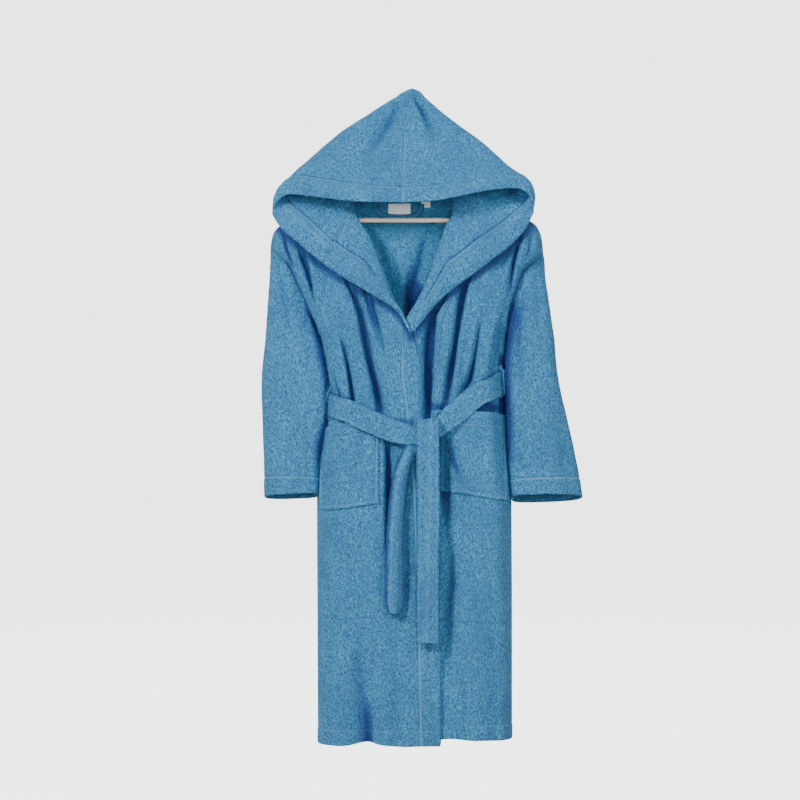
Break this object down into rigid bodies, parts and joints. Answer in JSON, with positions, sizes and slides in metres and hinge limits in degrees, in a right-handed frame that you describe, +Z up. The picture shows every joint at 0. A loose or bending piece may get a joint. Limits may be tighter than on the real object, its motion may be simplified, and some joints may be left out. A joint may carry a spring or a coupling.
{
  "type": "hooded child bathrobe on a hanger",
  "caption": "Blue terry hooded bathrobe for a child, tied with its belt, patch pockets and turned-out lapels, hung on a wire-hook hanger with its hood over the hook.",
  "frame": {"origin": "inner crest of the hanger's hook, where it rests on the rail or peg that holds it", "axes": "+Z up, the front of the robe faces -Y, +X towards the wearer's left"},
  "size_m": [0.615, 0.1301, 1.2459],
  "materials": {
    "terry": "looped terry, matt with a soft nap",
    "label": "smooth woven tape, blank",
    "wire": "bright wire",
    "hanger": "satin cream"
  },
  "bodies": {
    "root": {"back": "terry", "front_right": "terry", "front_left": "terry", "lapel_right": "terry", "lapel_left": "terry", "hood_right": "terry", "hood_left": "terry", "sleeve_right": "terry", "sleeve_left": "terry", "pocket_right": "terry", "pocket_left": "terry", "belt_round": "terry", "belt_knot": "terry", "belt_tail_front": "terry", "belt_tail_back": "terry", "belt_loop_right": "terry", "belt_loop_left": "terry", "hanging_loop": "terry", "neck_label": "label", "size_tag": "label", "hanger_hook": "wire", "hanger_ferrule": "wire", "hanger_arms": "hanger", "hanger_bar": "hanger"}
  },
  "joints": []
}
